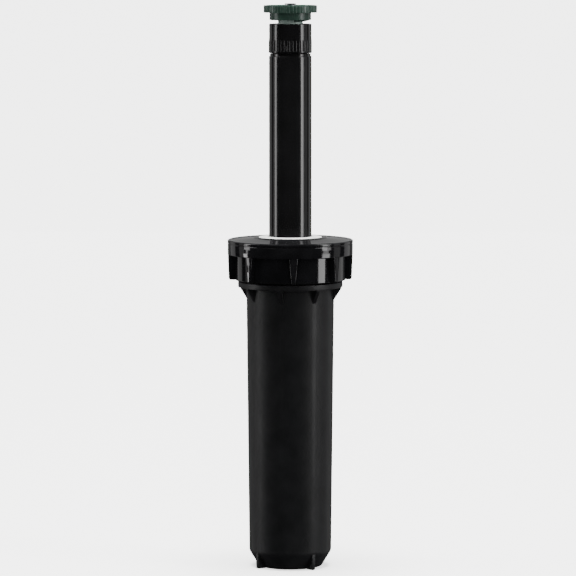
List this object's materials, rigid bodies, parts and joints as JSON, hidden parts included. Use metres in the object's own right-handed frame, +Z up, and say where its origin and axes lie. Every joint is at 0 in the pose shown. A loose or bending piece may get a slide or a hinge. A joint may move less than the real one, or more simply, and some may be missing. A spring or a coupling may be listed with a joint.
{
  "type": "pop-up spray sprinkler",
  "caption": "Pop-up lawn spray sprinkler with raised stem, adjustable-arc nozzle, ribbed screw cap and tapered case with a threaded inlet in its foot.",
  "frame": {"origin": "centre of the face that the case stands on", "axes": "+Z up along the stem; -Y is the front, where the nozzle's spray slot ends at its step"},
  "size_m": [0.0572, 0.0572, 0.2575],
  "materials": {
    "black_case": "satin moulded ABS",
    "black_stem": "polished moulded acetal",
    "white_seal": "soft white elastomer",
    "green_nozzle": "dark green moulded plastic",
    "pale_insert": "pale green moulded plastic",
    "white_plastic": "natural acetal",
    "dark_rubber": "matt rubber",
    "stainless": "stainless wire and screw"
  },
  "bodies": {
    "case": {"body_case": "black_case"},
    "seal_unit": {"wiper_seal": "white_seal", "spring_seat_washer": "white_plastic", "retract_spring": "stainless", "cap_o_ring": "dark_rubber"},
    "screw_cap": {"cap": "black_case"},
    "ratchet": {"ratchet_ring": "white_plastic"},
    "stem": {"riser_stem": "black_stem", "ratchet_crown": "white_plastic", "check_seal": "dark_rubber", "check_seal_retainer": "white_plastic", "nozzle_base": "black_stem", "filter_screen": "white_plastic", "nozzle_core": "pale_insert"},
    "arc_adjuster": {"arc_collar": "green_nozzle", "screw_o_ring": "dark_rubber"},
    "throttle": {"throttle_plug": "white_plastic"},
    "screw": {"radius_screw": "stainless"}
  },
  "joints": [
    {"name": "cap_rise", "type": "slide", "parent": "case", "child": "seal_unit", "axis": [0, 0, 1], "range_m": [0, 0.0054]},
    {"name": "cap_turn", "type": "hinge", "parent": "seal_unit", "child": "screw_cap", "pos_m": [0, 0, 0.14], "axis": [0, 0, 1], "range_deg": [0, 540]},
    {"name": "stem_pop", "type": "slide", "parent": "seal_unit", "child": "ratchet", "axis": [0, 0, 1], "range_m": [-0.1016, 0], "deforming": ["retract_spring"]},
    {"name": "stem_turn", "type": "hinge", "parent": "ratchet", "child": "stem", "pos_m": [0, 0, 0.123], "axis": [0, 0, 1], "continuous": true},
    {"name": "arc_turn", "type": "hinge", "parent": "stem", "child": "arc_adjuster", "pos_m": [0, 0, 0.25], "axis": [0, 0, 1], "range_deg": [-180, 180]},
    {"name": "screw_travel", "type": "slide", "parent": "stem", "child": "throttle", "axis": [0, 0, 1], "range_m": [-0.00175, 0]},
    {"name": "screw_turn", "type": "hinge", "parent": "throttle", "child": "screw", "pos_m": [0, 0, 0.25], "axis": [0, 0, 1], "range_deg": [-1260, 0]}
  ],
  "couplings": [
    {"joint": "cap_rise", "follows": "cap_turn", "m_per_rad": 0.00057296},
    {"joint": "screw_turn", "follows": "screw_travel", "rad_per_m": 12566}
  ]
}
